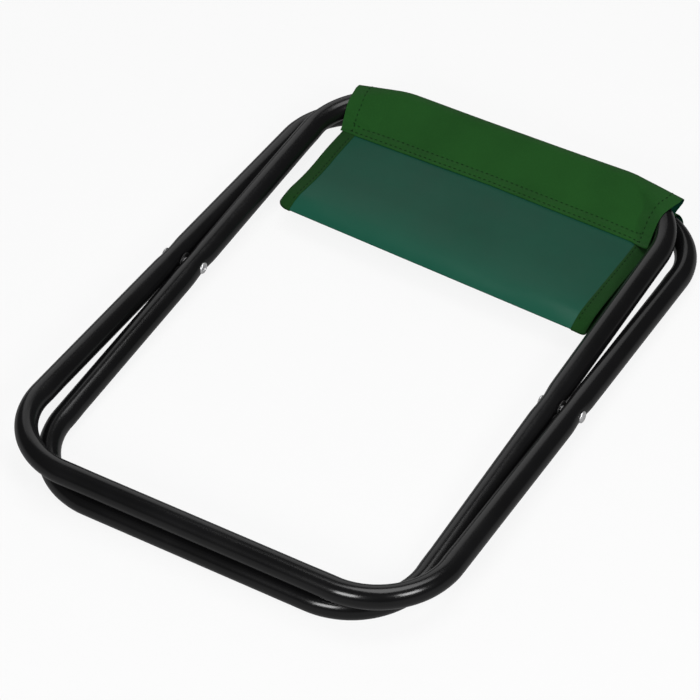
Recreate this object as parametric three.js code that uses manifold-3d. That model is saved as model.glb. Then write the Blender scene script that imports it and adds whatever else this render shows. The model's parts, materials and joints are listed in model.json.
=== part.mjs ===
// Folding camp stool, lying folded: two closed loops of bent steel tube, one inside the other,
// riveted together at the middle of their long sides, and a coated cloth seat whose two sewn
// sleeves are threaded on the loops' seat bars. Millimetres, +Z up, X along the pivot, the feet
// towards -Y and the seat towards +Y.
import * as THREE from "three";
import { mergeVertices } from "three/addons/utils/BufferGeometryUtils.js";
import Module from "manifold-3d";

const wasm = await Module();
wasm.setup();

// ---- Driving dimensions ----

const TUBE_R = 8;
const TUBE_WALL = 1;
const TUBE_SIDES = 16;
const BEND_R = 54.4;
const BEND_STEPS = 6;
const OUTER_LOOP_WIDTH = 307.4;
const INNER_LOOP_WIDTH = 274.6;
const SEAT_REACH = 212;
const FOOT_REACH = 217;
const BAR_GAP = 18.8;

const JOIN_GAP = 0.6;
const SPIGOT_LENGTH = 70;
const SPIGOT_R = 6.5;
const SPIGOT_WALL = 1;

const PINCH = 0.5;
const PINCH_HALF_LENGTH = 6;
const PINCH_BLEND = 10;

const RIVET_HOLE_R = 3.3;
const RIVET_SHANK_R = 2.9;
const RIVET_HEAD_R = 4.2;
const RIVET_HEAD_HEIGHT = 2;
const RIVET_DOME_STEPS = 4;
const CLINCH_R = 4.1;
const CLINCH_THICKNESS = 1.4;
const CLINCH_BORE_R = 1.8;
const CLINCH_BORE_DEPTH = 3;
const WASHER_R = 6;
const WASHER_THICKNESS = 0.9;
const ROUND_STEPS = 24;
const DRILL_OVERRUN = 16;
const MERGE_TOLERANCE = 1e-4;

const CLOTH = 0.35;
const CLEAR = 0.3;
const SLEEVE_HALF_WIDTH = 124;
const FOLD_HALF_WIDTH = 123;
const FOLD_R = 0.7;
const FOLD_Y = 76.4;
const FOLD_SWEEP = 70;
const FOLD_STEPS = 3;
const HEM_EDGE_Y = 168;
const SLEEVE_SEAM_Y = 177.5;
const SIDE_HEM_WIDTH = 10;
const SIDE_HEM_EDGE_INSET = 0.5;
const SIDE_HEM_END_GAP = 1;
const THREAD_WIDTH = 0.6;
const THREAD_THICKNESS = 0.25;
const SEAM_ROWS_Y = [170.5, 177];
const SIDE_SEAM_INSET = 8;
const SEAM_END_INSET = 2;
const SLEEVE_EASE = 2;
const SLEEVE_LIFT = 0.47;
const CLOTH_STEPS = 16;
const WRAP_STEPS = 15;
const STRIP_STEPS = 6;

// ---- Values worked out from them ----

const DEG = Math.PI / 180;
const TUBE_FLAT = TUBE_R * Math.cos(Math.PI / TUBE_SIDES);
const SEAT_BAR_Z = TUBE_R + CLEAR + CLOTH;

// The folded loops cross like a very flat X: the inner loop's foot bar and the outer loop's
// sleeved seat bar both touch the ground.
const INNER_SINE = (SEAT_BAR_Z - TUBE_FLAT + BAR_GAP) / (SEAT_REACH + FOOT_REACH);
const OUTER_SINE = BAR_GAP / SEAT_REACH - INNER_SINE;
const PIVOT_Z = TUBE_FLAT + FOOT_REACH * INNER_SINE;
const INNER_TILT = Math.asin(INNER_SINE);
const OUTER_TILT = Math.asin(OUTER_SINE);
const HALF_ANGLE = (INNER_TILT + OUTER_TILT) / 2;
const BISECTOR_TILT = (INNER_TILT - OUTER_TILT) / 2;

const LOOP_WIDTH = { upper: INNER_LOOP_WIDTH, lower: OUTER_LOOP_WIDTH };

// A second layer of cloth lies this far above the panel's middle, and the thread this far above
// two layers.
const LAYER_LIFT = CLOTH + CLEAR;
const THREAD_LIFT = 1.5 * CLOTH + 2 * CLEAR + THREAD_THICKNESS / 2;

// The cloth's plane passes this far from the middle of the bar that it hangs on.
const CLOTH_OFFSET = TUBE_R + CLEAR + CLOTH / 2;

// ---- Materials ----

const finish = (color, roughness, metalness) =>
  new THREE.MeshStandardMaterial({ color, roughness, metalness });
const blackPaint = finish(0x1b1b1c, 0.42, 0.2);
const bareSteel = finish(0x9a9da0, 0.4, 0.9);
const zincPlate = finish(0xc9cbcd, 0.3, 0.95);
const coatedCloth = finish(0x254b3c, 0.5, 0);
const wovenCloth = finish(0x244a26, 0.9, 0);
const greenThread = finish(0x173a1c, 0.85, 0);

// ---- Geometry helpers ----

// A closed mesh from vertices and triangles, turned so that its faces point out.
function closedMesh(vertices, triangles) {
  let volume = 0;
  for (const [a, b, c] of triangles) {
    volume += vertices[a].dot(new THREE.Vector3().crossVectors(vertices[b], vertices[c]));
  }
  const faces = volume < 0 ? triangles.map(([a, b, c]) => [a, c, b]) : triangles;
  const geometry = new THREE.BufferGeometry();
  geometry.setAttribute("position", new THREE.Float32BufferAttribute(
    vertices.flatMap((v) => [v.x, v.y, v.z]), 3));
  geometry.setIndex(faces.flat());
  return geometry;
}

// The two triangles of one cell of a grid whose rows hold `count` vertices.
function cell(row, column, count, wrap) {
  const next = wrap ? (column + 1) % count : column + 1;
  const a = row * count + column;
  const b = row * count + next;
  const c = (row + 1) * count + next;
  const d = (row + 1) * count + column;
  return [[a, b, c], [a, c, d]];
}

// A pipe with open ends: each station gives an outer and an inner ring of equal length.
function pipe(stations) {
  const sides = stations[0].outer.length;
  const rings = stations.length;
  const vertices = [
    ...stations.flatMap((station) => station.outer),
    ...stations.flatMap((station) => station.inner),
  ];
  const bore = rings * sides;
  const triangles = [];
  for (let ring = 0; ring < rings - 1; ring += 1) {
    for (let side = 0; side < sides; side += 1) {
      for (const [a, b, c] of cell(ring, side, sides, true)) {
        triangles.push([a, b, c]);
        triangles.push([bore + a, bore + c, bore + b]);
      }
    }
  }
  for (let side = 0; side < sides; side += 1) {
    const next = (side + 1) % sides;
    const last = (rings - 1) * sides;
    triangles.push([side, bore + side, bore + next], [side, bore + next, next]);
    triangles.push([last + side, last + next, bore + last + next]);
    triangles.push([last + side, bore + last + next, bore + last + side]);
  }
  return closedMesh(vertices, triangles);
}

// A sheet of even thickness over a grid of points; normals point from one face to the other.
function sheet(grid, normals, thickness) {
  const rows = grid.length;
  const columns = grid[0].length;
  const shifted = (side) => grid.flatMap((row, r) => row.map((point, c) =>
    point.clone().addScaledVector(normals[r][c], (side * thickness) / 2)));
  const vertices = [...shifted(1), ...shifted(-1)];
  const back = rows * columns;
  const triangles = [];
  for (let r = 0; r < rows - 1; r += 1) {
    for (let c = 0; c < columns - 1; c += 1) {
      for (const [p, q, s] of cell(r, c, columns, false)) {
        triangles.push([p, q, s], [back + p, back + s, back + q]);
      }
    }
  }
  const rim = [];
  for (let c = 0; c < columns - 1; c += 1) {
    rim.push([c, c + 1]);
    rim.push([(rows - 1) * columns + c + 1, (rows - 1) * columns + c]);
  }
  for (let r = 0; r < rows - 1; r += 1) {
    rim.push([(r + 1) * columns, r * columns]);
    rim.push([r * columns + columns - 1, (r + 1) * columns + columns - 1]);
  }
  for (const [p, q] of rim) {
    triangles.push([q, p, back + p], [q, back + p, back + q]);
  }
  return closedMesh(vertices, triangles);
}

// A turned piece whose axis runs along X. Each profile point is [radius, x].
function turned(profile) {
  const points = profile.map(([radius, x]) => new THREE.Vector2(radius, x));
  const geometry = new THREE.LatheGeometry(points, ROUND_STEPS);
  geometry.rotateZ(-Math.PI / 2);
  return geometry;
}

function toSolid(source) {
  const bare = source.clone();
  bare.deleteAttribute("normal");
  bare.deleteAttribute("uv");
  const merged = mergeVertices(bare, MERGE_TOLERANCE);
  return new wasm.Manifold(new wasm.Mesh({
    numProp: 3,
    vertProperties: new Float32Array(merged.attributes.position.array),
    triVerts: new Uint32Array(merged.index.array),
  }));
}

function fromSolid(solid) {
  const mesh = solid.getMesh();
  const geometry = new THREE.BufferGeometry();
  geometry.setAttribute("position", new THREE.BufferAttribute(mesh.vertProperties, 3));
  geometry.setIndex(new THREE.BufferAttribute(mesh.triVerts, 1));
  return geometry;
}

function named(name, geometry, material) {
  const mesh = new THREE.Mesh(geometry, material);
  mesh.name = name;
  return mesh;
}

// ---- Tube loops ----

// Stations along a loop's middle line, in the loop's own plane with the pivot at the origin:
// from one side of the joint in the seat bar, round the loop, to the joint's other side.
function loopStations(width) {
  const side = width / 2;
  const stations = [{ x: JOIN_GAP / 2, y: SEAT_REACH, out: 90 * DEG, pinch: 0 }];
  const bend = (centreX, centreY, from) => {
    for (let step = 0; step <= BEND_STEPS; step += 1) {
      const out = from - (90 * DEG * step) / BEND_STEPS;
      stations.push({
        x: centreX + BEND_R * Math.cos(out),
        y: centreY + BEND_R * Math.sin(out),
        out,
        pinch: 0,
      });
    }
  };
  const pinched = (x, out, direction) => {
    const reach = PINCH_HALF_LENGTH + PINCH_BLEND;
    for (const [y, pinch] of [
      [-reach, 0], [-PINCH_HALF_LENGTH, PINCH], [PINCH_HALF_LENGTH, PINCH], [reach, 0],
    ]) {
      stations.push({ x, y: y * direction, out, pinch });
    }
  };
  bend(side - BEND_R, SEAT_REACH - BEND_R, 90 * DEG);
  pinched(side, 0, -1);
  bend(side - BEND_R, -FOOT_REACH + BEND_R, 0);
  bend(-side + BEND_R, -FOOT_REACH + BEND_R, -90 * DEG);
  pinched(-side, -180 * DEG, 1);
  bend(-side + BEND_R, SEAT_REACH - BEND_R, -180 * DEG);
  stations.push({ x: -JOIN_GAP / 2, y: SEAT_REACH, out: -270 * DEG, pinch: 0 });
  return stations;
}

// The tube's round section at a station. The tube is pinched a little flat at the rivets.
function tubeRing(station, radius, turn) {
  const ring = [];
  for (let side = 0; side < TUBE_SIDES; side += 1) {
    const angle = -90 * DEG + turn + ((side + 0.5) * 2 * Math.PI) / TUBE_SIDES;
    const across = (radius - station.pinch) * Math.cos(angle);
    ring.push(new THREE.Vector3(
      station.x + across * Math.cos(station.out),
      station.y + across * Math.sin(station.out),
      radius * Math.sin(angle),
    ));
  }
  return ring;
}

// A loop of tube with the rivet holes drilled through its long sides. `turn` sets the facets so
// that the one under the foot bar is level.
function tubeLoop(width, turn) {
  const tube = pipe(loopStations(width).map((station) => ({
    outer: tubeRing(station, TUBE_R, turn),
    inner: tubeRing(station, TUBE_R - TUBE_WALL, turn),
  })));
  const drill = new THREE.CylinderGeometry(
    RIVET_HOLE_R, RIVET_HOLE_R, width + 2 * DRILL_OVERRUN, ROUND_STEPS);
  drill.rotateZ(90 * DEG);
  return fromSolid(toSolid(tube).subtract(toSolid(drill)));
}

// The short inner pipe that joins the two ends of a loop inside its seat bar.
function spigot() {
  const half = SPIGOT_LENGTH / 2;
  const bore = SPIGOT_R - SPIGOT_WALL;
  const geometry = turned([
    [bore, -half], [SPIGOT_R, -half], [SPIGOT_R, half], [bore, half], [bore, -half],
  ]);
  geometry.translate(0, SEAT_REACH, 0);
  return geometry;
}

// ---- Pivots ----

// Built for the right side, along +X: the domed head outside, the rolled clinch inside.
function rivet() {
  const headX = OUTER_LOOP_WIDTH / 2 + TUBE_R - PINCH + CLEAR;
  const clinchX = INNER_LOOP_WIDTH / 2 - TUBE_R + PINCH - CLEAR;
  const profile = [
    [0, clinchX - CLINCH_THICKNESS + CLINCH_BORE_DEPTH],
    [CLINCH_BORE_R, clinchX - CLINCH_THICKNESS + CLINCH_BORE_DEPTH],
    [CLINCH_BORE_R, clinchX - CLINCH_THICKNESS / 2],
    [(CLINCH_BORE_R + CLINCH_R) / 2, clinchX - CLINCH_THICKNESS],
    [CLINCH_R, clinchX - CLINCH_THICKNESS / 2],
    [CLINCH_R, clinchX],
    [RIVET_SHANK_R, clinchX],
    [RIVET_SHANK_R, headX],
    [RIVET_HEAD_R, headX],
  ];
  for (let step = 1; step < RIVET_DOME_STEPS; step += 1) {
    const angle = (90 * DEG * step) / RIVET_DOME_STEPS;
    profile.push([RIVET_HEAD_R * Math.cos(angle), headX + RIVET_HEAD_HEIGHT * Math.sin(angle)]);
  }
  profile.push([0, headX + RIVET_HEAD_HEIGHT]);
  return turned(profile);
}

// The thin washer that keeps the two tubes' paint apart.
function spacerWasher() {
  const middle = (OUTER_LOOP_WIDTH + INNER_LOOP_WIDTH) / 4;
  const from = middle - WASHER_THICKNESS / 2;
  const to = middle + WASHER_THICKNESS / 2;
  return turned([
    [RIVET_HOLE_R, from], [WASHER_R, from], [WASHER_R, to], [RIVET_HOLE_R, to],
    [RIVET_HOLE_R, from],
  ]);
}

// ---- Cloth ----

// The cloth is worked out in the frame of the line that halves the folded X: Y along it, Z across
// it, the pivot at the origin. The upper half is described; the lower half is its mirror image.

// The bar's cut at a distance x from the stool's middle plane: its middle, how far it reaches along
// Y, which grows where the bar curves away into the bend, and how far the cloth stands off its top.
function barAt(x, half) {
  const into = Math.max(0, Math.abs(x) - (LOOP_WIDTH[half] / 2 - BEND_R));
  const rear = Math.sqrt((BEND_R + TUBE_R) ** 2 - into ** 2);
  const front = Math.sqrt((BEND_R - TUBE_R) ** 2 - into ** 2);
  const alongLoop = SEAT_REACH - BEND_R + (rear + front) / 2;
  return {
    y: alongLoop * Math.cos(HALF_ANGLE),
    z: alongLoop * Math.sin(HALF_ANGLE),
    reach: (rear - front) / 2 + (SLEEVE_EASE * into) / BEND_R,
    lift: (SLEEVE_LIFT * into) / BEND_R,
  };
}

// Height of the panel, which runs straight from under the bar to the fold.
function panelZ(y, bar) {
  const underBar = bar.z - CLOTH_OFFSET;
  return underBar + ((FOLD_R - underBar) * (bar.y - y)) / (bar.y - FOLD_Y);
}

// The upper half's section at x, as [y, z] points from the hem's edge, over and round the bar,
// and back under it to the fold. From the seam the cloth runs straight to where it meets the bar.
function clothSection(x, half) {
  const bar = barAt(x, half);
  const seamZ = panelZ(SLEEVE_SEAM_Y, bar) + LAYER_LIFT;
  const points = [
    [HEM_EDGE_Y, panelZ(HEM_EDGE_Y, bar) + LAYER_LIFT],
    [SLEEVE_SEAM_Y, seamZ],
  ];
  const reach = bar.reach + CLEAR + CLOTH / 2;
  const seamAcross = (bar.y - SLEEVE_SEAM_Y) / reach;
  const seamBelow = (bar.z - seamZ) / CLOTH_OFFSET;
  const seamAngle = Math.PI + Math.atan2(seamBelow, seamAcross);
  const touch = seamAngle - Math.acos(1 / Math.hypot(seamAcross, seamBelow));
  for (let step = 0; step <= WRAP_STEPS; step += 1) {
    const angle = THREE.MathUtils.lerp(touch, -90 * DEG, step / WRAP_STEPS);
    const rise = CLOTH_OFFSET + (angle > 0 ? bar.lift : 0);
    points.push([bar.y + reach * Math.cos(angle), bar.z + rise * Math.sin(angle)]);
  }
  points.push([SLEEVE_SEAM_Y, panelZ(SLEEVE_SEAM_Y, bar)]);
  points.push([(SLEEVE_SEAM_Y + FOLD_Y) / 2, panelZ((SLEEVE_SEAM_Y + FOLD_Y) / 2, bar)]);
  for (let step = 0; step <= FOLD_STEPS; step += 1) {
    const angle = 90 * DEG + (FOLD_SWEEP * DEG * step) / FOLD_STEPS;
    points.push([FOLD_Y + FOLD_R * Math.cos(angle), FOLD_R * Math.sin(angle)]);
  }
  return points;
}

// The cloth is a little narrower at the fold than at the sleeves.
function halfWidthAt(y) {
  const along = THREE.MathUtils.smoothstep(y, FOLD_Y, SLEEVE_SEAM_Y);
  return THREE.MathUtils.lerp(FOLD_HALF_WIDTH, SLEEVE_HALF_WIDTH, along);
}

// Height of the panel's middle at a point of the panel.
function panelHeight(x, y, half) {
  return panelZ(y, barAt((SLEEVE_HALF_WIDTH * x) / halfWidthAt(y), half));
}

// Unit normals of an open [y, z] polyline, one at each point.
function sectionNormals(points) {
  return points.map((_, index) => {
    const [y0, z0] = points[Math.max(0, index - 1)];
    const [y1, z1] = points[Math.min(points.length - 1, index + 1)];
    return new THREE.Vector3(0, z1 - z0, y0 - y1).normalize();
  });
}

// A sheet over the sections at each x, mirrored down for the lower half.
function sectionSheet(sections, thickness, half) {
  const mirror = new THREE.Vector3(1, 1, half === "upper" ? 1 : -1);
  const grid = sections.map(({ points, xAt }) =>
    points.map(([y, z]) => new THREE.Vector3(xAt(y), y, z).multiply(mirror)));
  const normals = sections.map(({ points }) =>
    sectionNormals(points).map((normal) => normal.multiply(mirror)));
  return sheet(grid, normals, thickness);
}

function clothHalf(half) {
  const sections = [];
  for (let step = 0; step <= CLOTH_STEPS; step += 1) {
    const across = -Math.cos((180 * DEG * step) / CLOTH_STEPS);
    sections.push({
      points: clothSection(across * SLEEVE_HALF_WIDTH, half),
      xAt: (y) => across * halfWidthAt(y),
    });
  }
  return sectionSheet(sections, CLOTH, half);
}

// A strip that lies on the panel's outer face, between two insets from one side edge.
function panelStrip(half, side, insets, lift, thickness, endGap) {
  const fromY = FOLD_Y + endGap;
  const toY = HEM_EDGE_Y - endGap;
  const sections = insets.map((inset) => {
    const xAt = (y) => side * (halfWidthAt(y) - inset);
    const points = [];
    for (let step = 0; step <= STRIP_STEPS; step += 1) {
      const y = THREE.MathUtils.lerp(fromY, toY, step / STRIP_STEPS);
      points.push([y, panelHeight(xAt(y), y, half) + lift]);
    }
    return { points, xAt };
  });
  return sectionSheet(sections, thickness, half);
}

function sideHem(half, side) {
  const insets = [SIDE_HEM_EDGE_INSET, SIDE_HEM_WIDTH];
  return panelStrip(half, side, insets, LAYER_LIFT, CLOTH, SIDE_HEM_END_GAP);
}

function sideSeam(half, side) {
  const insets = [SIDE_SEAM_INSET - THREAD_WIDTH / 2, SIDE_SEAM_INSET + THREAD_WIDTH / 2];
  return panelStrip(half, side, insets, THREAD_LIFT, THREAD_THICKNESS, SEAM_END_INSET);
}

// One row of thread along the sleeve's hem.
function sleeveSeam(half, rowY) {
  const reach = halfWidthAt(rowY) - SEAM_END_INSET;
  const sections = [];
  for (let step = 0; step <= CLOTH_STEPS; step += 1) {
    const x = reach * ((2 * step) / CLOTH_STEPS - 1);
    const z = panelHeight(x, rowY, half) + THREAD_LIFT;
    const points = [[rowY - THREAD_WIDTH / 2, z], [rowY + THREAD_WIDTH / 2, z]];
    sections.push({ points, xAt: () => x });
  }
  return sectionSheet(sections, THREAD_THICKNESS, half);
}

// ---- Assembly ----

const stool = new THREE.Group();

const outerFrame = new THREE.Group();
outerFrame.rotation.x = -OUTER_TILT;
outerFrame.add(named("outer_tube", tubeLoop(OUTER_LOOP_WIDTH, -OUTER_TILT), blackPaint));
outerFrame.add(named("outer_tube_spigot", spigot(), bareSteel));

const innerFrame = new THREE.Group();
innerFrame.rotation.x = INNER_TILT;
innerFrame.add(named("inner_tube", tubeLoop(INNER_LOOP_WIDTH, INNER_TILT), blackPaint));
innerFrame.add(named("inner_tube_spigot", spigot(), bareSteel));

const pivots = new THREE.Group();
for (const [side, turn] of [["right", 0], ["left", Math.PI]]) {
  const pivot = new THREE.Group();
  pivot.rotation.z = turn;
  pivot.add(named(`${side}_rivet`, rivet(), zincPlate));
  pivot.add(named(`${side}_spacer_washer`, spacerWasher(), zincPlate));
  pivots.add(pivot);
}

const seat = new THREE.Group();
seat.rotation.x = BISECTOR_TILT;
for (const half of ["upper", "lower"]) {
  seat.add(named(`seat_${half}_half`, clothHalf(half), coatedCloth));
  SEAM_ROWS_Y.forEach((rowY, index) => {
    const row = index === 0 ? "edge" : "inner";
    seat.add(named(`${half}_sleeve_${row}_seam`, sleeveSeam(half, rowY), greenThread));
  });
  for (const [side, sign] of [["right", 1], ["left", -1]]) {
    seat.add(named(`${half}_${side}_side_hem`, sideHem(half, sign), wovenCloth));
    seat.add(named(`${half}_${side}_side_seam`, sideSeam(half, sign), greenThread));
  }
}

const aboutPivot = new THREE.Group();
aboutPivot.add(outerFrame, innerFrame, pivots, seat);
aboutPivot.position.z = PIVOT_Z;
stool.add(aboutPivot);

// The origin lies under the middle of the folded stool.
stool.updateMatrixWorld(true);
const extent = new THREE.Box3().setFromObject(stool, true);
aboutPivot.position.y = -(extent.min.y + extent.max.y) / 2;

export default stool;
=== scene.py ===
"""Looks of the folded camp stool: bent steel loops with a powder coat, semi-tubular rivets, and a
coated cloth seat in sewn sleeves. Metres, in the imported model's frame."""
import json
import math

import bpy
import numpy as np
from mathutils import Matrix, Vector


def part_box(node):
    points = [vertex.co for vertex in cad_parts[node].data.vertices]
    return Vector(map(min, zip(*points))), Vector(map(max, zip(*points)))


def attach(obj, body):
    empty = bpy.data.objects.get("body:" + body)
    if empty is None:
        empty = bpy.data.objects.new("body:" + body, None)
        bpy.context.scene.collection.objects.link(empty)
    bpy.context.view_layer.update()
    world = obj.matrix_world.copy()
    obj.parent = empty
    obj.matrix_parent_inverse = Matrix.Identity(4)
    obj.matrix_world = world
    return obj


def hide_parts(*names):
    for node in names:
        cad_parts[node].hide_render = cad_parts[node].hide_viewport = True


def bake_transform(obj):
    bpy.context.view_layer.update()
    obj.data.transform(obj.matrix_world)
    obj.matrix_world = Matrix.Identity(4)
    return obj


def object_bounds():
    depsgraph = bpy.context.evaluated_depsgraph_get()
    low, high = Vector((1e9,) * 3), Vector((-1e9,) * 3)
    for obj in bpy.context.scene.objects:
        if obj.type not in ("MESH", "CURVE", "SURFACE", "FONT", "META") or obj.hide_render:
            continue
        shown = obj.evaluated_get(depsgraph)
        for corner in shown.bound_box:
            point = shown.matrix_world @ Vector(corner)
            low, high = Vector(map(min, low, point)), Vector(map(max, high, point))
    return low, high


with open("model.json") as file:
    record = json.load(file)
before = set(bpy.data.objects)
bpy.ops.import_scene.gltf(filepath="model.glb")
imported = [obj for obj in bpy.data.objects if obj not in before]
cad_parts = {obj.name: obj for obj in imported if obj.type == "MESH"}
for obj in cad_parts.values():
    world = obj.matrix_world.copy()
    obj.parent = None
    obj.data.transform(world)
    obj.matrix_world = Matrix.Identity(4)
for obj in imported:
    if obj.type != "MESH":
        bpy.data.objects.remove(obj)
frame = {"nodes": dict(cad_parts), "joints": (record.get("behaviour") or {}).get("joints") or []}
CAD_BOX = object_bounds()

MM = 0.001

# ---- The frame's own measures ----

JOINTS = {joint["name"]: np.array(joint["pos_m"]) for joint in frame["joints"]}
PIVOT = JOINTS["fold"]
UPPER_BAR = JOINTS["upper_sleeve_turn"] - PIVOT
FOLD_AXIS = JOINTS["seat_fold"] - PIVOT


def tilt_of(vector):
    return math.atan2(vector[2], vector[1])


def width_of(node):
    low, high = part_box(node)
    return high.x - low.x


TUBE_R = 8 * MM
TUBE_WALL = 1 * MM
BEND_R = 54.4 * MM
SEAT_REACH = float(np.linalg.norm(UPPER_BAR))
FOOT_REACH = 217 * MM
JOIN_GAP = 0.6 * MM
OUTER_WIDTH = width_of("outer_tube") - 2 * TUBE_R
INNER_WIDTH = width_of("inner_tube") - 2 * TUBE_R
BISECTOR_TILT = tilt_of(FOLD_AXIS)
INNER_TILT = tilt_of(UPPER_BAR)
HALF_ANGLE = INNER_TILT - BISECTOR_TILT
OUTER_TILT = BISECTOR_TILT - HALF_ANGLE
FOLD_Y = float(np.linalg.norm(FOLD_AXIS))

# ---- Tube details ----

TUBE_SIDES = 56
BEND_STEPS = 28
STRAIGHT_STEPS = 10
TUBE_SHARP = 35
BEND_FLATTEN = 0.035
BEND_SPREAD = 0.02
BEND_ONSET = 0.18
KINK = 0.35 * MM
KINK_LENGTH = 5 * MM
KINK_AT = 0.6
PINCH = 0.5 * MM
PINCH_REACH = 16 * MM
PINCH_FLAT = 0.35
PINCH_STEP = 1 * MM
DENT = 0.7 * MM
DENT_R = 6 * MM
DENT_FACING = (0.1, 0.6)
HOLE_R = 3.3 * MM

# ---- Rivets ----

HEAD_R = 4.2 * MM
HEAD_HEIGHT = 2.1 * MM
HEAD_EDGE = 0.5 * MM
HEAD_STEPS = 9
SHANK_R = 2.9 * MM
CLINCH_R = 4.1 * MM
CLINCH_ROLL_R = 1.05 * MM
CLINCH_TURN = 200
CLINCH_STEPS = 8
CLINCH_NECK = 0.6
CLINCH_BORE_DEPTH = 4 * MM
BORE_TAPER = 0.9
WASHER_R = 6 * MM
WASHER_THICKNESS = 0.9 * MM
WASHER_EDGE = 0.2 * MM
ROUND_STEPS = 48
ROUND_SHARP = 40

# ---- Cloth ----

# The sheet, its layers, and how it lies on a tube: past the knee it leaves on a steep line.
CLOTH = 0.35 * MM
CLEAR = 0.1 * MM
LAYER = CLOTH + CLEAR
STAND = TUBE_R + CLEAR + CLOTH / 2
TIGHT = 0.05 * MM
KNEE_SLOPE = 2.0
KNEE = KNEE_SLOPE / math.hypot(1, KNEE_SLOPE)
PRESSED = 0.98
TAUT_SLOPE = 0.45
CLOTH_SHARP = 60

# How the rows and columns of its grid are spread.
CLOTH_COLUMNS = 170
EDGE_CROWDING = 0.35
TURNED_ROWS = 12
TURN_STEPS = 6
FLAP_STEPS = 44
WRAP_STEPS = 40
PANEL_STEPS = 90
FOLD_CROWDING = 1.5

# Its width, and the sleeve from the hem to the mouths. Places across the cloth run from -1 to 1.
HALF_WIDTH = 123 * MM
SHIFT_X = 3 * MM
SLEEVE_FLARE = 6.4 * MM
HEM_FLARE = 0.28
FLARE_ENDS = (40, -70)
MOUTH_TUCK = 3.8 * MM
MOUTH_TUCK_FROM = 0.55
TOP_TUCK = 0.4
LEAVE_BEND = 11 * MM
LEFT_LEAVE_BEND = 17 * MM
RIDGE = 0.5
RIDGE_FROM = 0.2

# The sleeve's hem: its edge, the layer turned under it, and the part that is sewn down.
HEM_Y = 171.5 * MM
HEM_SLANT = 0.035
HEM_CORNER = 6.5 * MM
HEM_CLIMB = (111 * MM, 128 * MM)
HEM_SOFTNESS = 0.5 * MM
HEM_TURN = 11 * MM
TURN_EASE = 6 * MM
SEWN = 10 * MM
FLAP_SOFTNESS = 0.3 * MM

# The fold and its two corners.
FOLD_R = 0.7 * MM
FOLD_TURN = ((0.45, 0.80), (0.80, 0.50), (0.95, 0.28))
FOLD_SKEW = 0.045
FOLD_ALONG = 219 * MM
CORNER_R = 9 * MM
SHARP_CORNER_R = 2 * MM
CORNER_DEPTH = 0.6
CORNER_CURVE = 0.96
WAIST = 2.0 * MM
WAIST_FROM = 0.6
WAIST_START = 0.2

# Slack: the bulge beside the fold, slow ripples, and the gathers between stitches. A wave is its
# size, its lengths across and along the cloth, and its phase.
FOLD_BULGE = 3.6 * MM
FOLD_BULGE_AT = 16 * MM
FOLD_BULGE_FADE = (1.25, 0.75)
FOLD_EASE = 14 * MM
HEM_EASE = 30 * MM
RIPPLE_WAVES = ((1, 17 * MM, 41 * MM, 0), (1, 29 * MM, -23 * MM, 1.3),
                (0.6, 9.5 * MM, 15 * MM, 0.4))
PANEL_RIPPLE = 2.0 * MM
FLAP_RIPPLE = 0.5 * MM
FLAP_RIPPLE_PACE = 1.7
PUCKER_LENGTH = 1.9 * MM
PUCKER_BEAT = (13 * MM, 0.7)
PUFF = 0.28 * MM
PUFF_WIDTH = 1.3 * MM
PUFF_EASE = 8 * MM
GATHER = 0.4

# The side hems.
SIDE_HEM = 10 * MM
SIDE_HEM_RAMP = 1.3
SIDE_HEM_LIP = 0.25 * MM
SIDE_HEM_LIP_HEIGHT = 0.75
SIDE_HEM_INSETS = (9.2, 8.6, 8.0, 7.4, 6.6, 5.2, 3.6, 2.2, 1.2, 0.5)
SIDE_HEM_PUFF = 0.18 * MM
SIDE_HEM_PUFF_WIDTH = 0.8 * MM
SIDE_HEM_OUT = 0.05 * MM
SIDE_HEM_TURN = (0.27 * MM, 0.32 * MM)
SIDE_HEM_TURN_STEP = 30
SIDE_HEM_CLOTH = 0.9 * CLOTH
HIDDEN_HEM = 5 * MM
HIDDEN_HEM_ROWS = 12

# The seams and their stitches.
SEAM_ROWS = (2.5 * MM, 9.0 * MM)
SEAM_REACH = 0.955
SEAM_POINTS = 180
SIDE_SEAM_INSET = 8 * MM
SIDE_SEAM_POINTS = 120
SIDE_SEAM_START = 1 * MM
SLEEVE_SEAM_STOP = 12 * MM
FOLD_SEAM_STOP = 4 * MM
STITCH_PITCH = 4.0 * MM
STITCH_LENGTH = 2.3 * MM
FIRST_STITCH = 0.3 * STITCH_PITCH
STITCH_RISE = 1.25
STITCH_SINK = 0.55
STITCH_THIN_END = 0.12
STITCH_STATIONS = 7
THREAD_R = 0.28 * MM
THREAD_SIDES = 6


# ---- Mesh helpers ----

def new_object(name, vertices, faces, materials, face_materials=None, uvs=None, sharp=None):
    mesh = bpy.data.meshes.new(name)
    mesh.from_pydata([tuple(v) for v in vertices], [], [tuple(f) for f in faces])
    for material in materials:
        mesh.materials.append(material)
    if face_materials is not None:
        mesh.polygons.foreach_set("material_index", np.asarray(face_materials, np.int32))
    if uvs is not None:
        layer = mesh.uv_layers.new(name="cloth")
        loops = np.zeros(len(mesh.loops), np.int32)
        mesh.loops.foreach_get("vertex_index", loops)
        layer.data.foreach_set("uv", np.asarray(uvs, np.float32)[loops].ravel())
    mesh.validate()
    mesh.shade_smooth()
    if sharp is not None:
        mesh.set_sharp_from_angle(angle=math.radians(sharp))
    obj = bpy.data.objects.new(name, mesh)
    bpy.context.scene.collection.objects.link(obj)
    return obj


def grid_faces(rows, columns, wrap_rows=False, wrap_columns=False):
    """Quads over a grid of vertices, as an array of vertex indices."""
    r = np.arange(rows if wrap_rows else rows - 1)
    c = np.arange(columns if wrap_columns else columns - 1)
    r, c = np.meshgrid(r, c, indexing="ij")
    below, right = (r + 1) % rows, (c + 1) % columns
    a = r * columns + c
    b = r * columns + right
    d = below * columns + c
    e = below * columns + right
    return np.stack([a, b, e, d], -1).reshape(-1, 4)


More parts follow.
